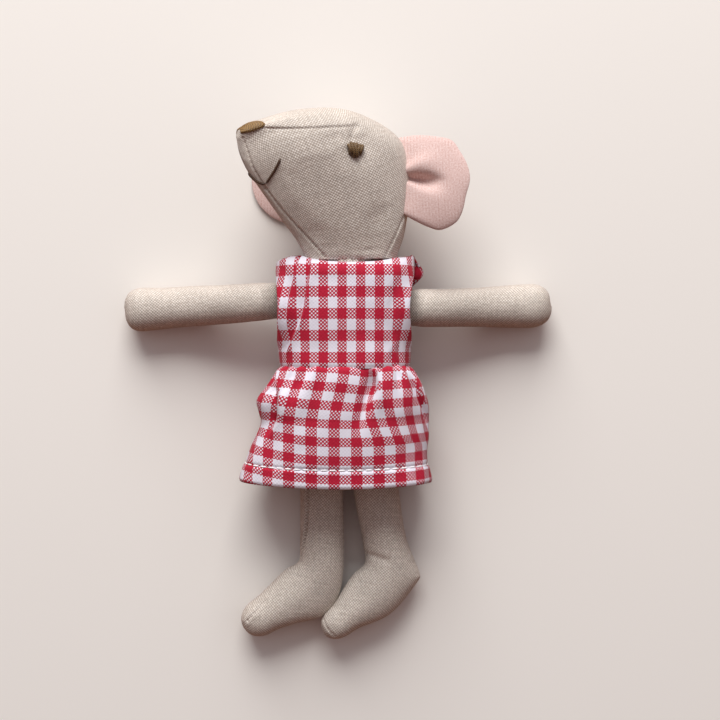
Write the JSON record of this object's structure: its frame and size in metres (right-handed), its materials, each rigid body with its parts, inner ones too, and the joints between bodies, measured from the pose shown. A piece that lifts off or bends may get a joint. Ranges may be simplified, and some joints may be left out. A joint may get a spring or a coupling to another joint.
{
  "type": "cloth mouse doll",
  "caption": "Stuffed cloth mouse doll with a long snout, round ears, sewn-on limbs that swing and a checked dress, lying on its back with its head turned.",
  "frame": {"origin": "on the flat of the dress's back, under the middle of the chest, where the doll lies", "axes": "+X to the doll's left, +Y to the top of its head, +Z out of its chest"},
  "size_m": [0.1413, 0.1721, 0.0411],
  "materials": {
    "canvas": "unbleached plain-weave canvas",
    "stuffing": "white fibre",
    "gingham": "red and white woven check",
    "flannel": "pink brushed flannel",
    "thread": "brown embroidery thread",
    "stud": "satin"
  },
  "bodies": {
    "torso": {"torso_skin": "canvas", "torso_stuffing": "stuffing", "bodice_front": "gingham", "bodice_back_left": "gingham", "bodice_back_right": "gingham", "press_stud_ball_upper": "stud", "press_stud_ball_lower": "stud", "press_stud_socket_upper": "stud", "press_stud_socket_lower": "stud", "skirt": "gingham"},
    "neck": {"neck": "canvas"},
    "head": {"head_skin": "canvas", "head_stuffing": "stuffing", "nose": "thread", "mouth": "thread", "left_eye": "thread", "right_eye": "thread"},
    "left_ear": {"left_ear_front": "flannel", "left_ear_back": "flannel"},
    "right_ear": {"right_ear_front": "flannel", "right_ear_back": "flannel"},
    "left_shoulder": {"left_shoulder_tape": "canvas"},
    "right_shoulder": {"right_shoulder_tape": "canvas"},
    "left_arm": {"left_arm_skin": "canvas", "left_arm_stuffing": "stuffing"},
    "right_arm": {"right_arm_skin": "canvas", "right_arm_stuffing": "stuffing"},
    "hips": {"hip_tape": "canvas"},
    "left_leg": {"left_leg_skin": "canvas", "left_leg_stuffing": "stuffing"},
    "right_leg": {"right_leg_skin": "canvas", "right_leg_stuffing": "stuffing"}
  },
  "joints": [
    {"name": "neck_turn", "type": "hinge", "parent": "torso", "child": "neck", "pos_m": [0.002, 0.0213, 0.01744], "axis": [0, 1, 0], "range_deg": [-30, 90], "stiffness_Nm_per_rad": 0.01},
    {"name": "head_nod", "type": "hinge", "parent": "neck", "child": "head", "pos_m": [0.002, 0.0213, 0.01744], "axis": [0.5, 0, 0.866], "range_deg": [-8, 10], "stiffness_Nm_per_rad": 0.01},
    {"name": "left_ear_fold", "type": "hinge", "parent": "head", "child": "left_ear", "pos_m": [0.01849, 0.04533, 0.02467], "axis": [0.0454, -0.9959, 0.0787], "range_deg": [-20, 60], "stiffness_Nm_per_rad": 0.002},
    {"name": "right_ear_fold", "type": "hinge", "parent": "head", "child": "right_ear", "pos_m": [-0.00475, 0.04897, 0.00117], "axis": [0, -1, 0], "range_deg": [0, 100], "stiffness_Nm_per_rad": 0.002},
    {"name": "left_arm_swing", "type": "hinge", "parent": "torso", "child": "left_shoulder", "pos_m": [0.01635, 0.007, 0.0157], "axis": [0, -1, 0], "range_deg": [0, 35]},
    {"name": "left_arm_raise", "type": "hinge", "parent": "left_shoulder", "child": "left_arm", "pos_m": [0.0249, 0.007, 0.0157], "axis": [0, 0, 1], "range_deg": [-45, 40]},
    {"name": "right_arm_swing", "type": "hinge", "parent": "torso", "child": "right_shoulder", "pos_m": [-0.01635, 0.007, 0.0157], "axis": [0, 1, 0], "range_deg": [0, 35]},
    {"name": "right_arm_raise", "type": "hinge", "parent": "right_shoulder", "child": "right_arm", "pos_m": [-0.0249, 0.007, 0.0157], "axis": [0, 0, -1], "range_deg": [-45, 40]},
    {"name": "hip_fold", "type": "hinge", "parent": "torso", "child": "hips", "pos_m": [0, -0.03285, 0.0105], "axis": [-1, 0, 0], "range_deg": [0, 75], "deforming": ["skirt"]},
    {"name": "left_leg_swing", "type": "hinge", "parent": "hips", "child": "left_leg", "pos_m": [0.0078, -0.0378, 0.0105], "axis": [-1, 0, 0], "range_deg": [0, 22]},
    {"name": "right_leg_swing", "type": "hinge", "parent": "hips", "child": "right_leg", "pos_m": [-0.0071, -0.0378, 0.0105], "axis": [-1, 0, 0], "range_deg": [0, 22]}
  ]
}
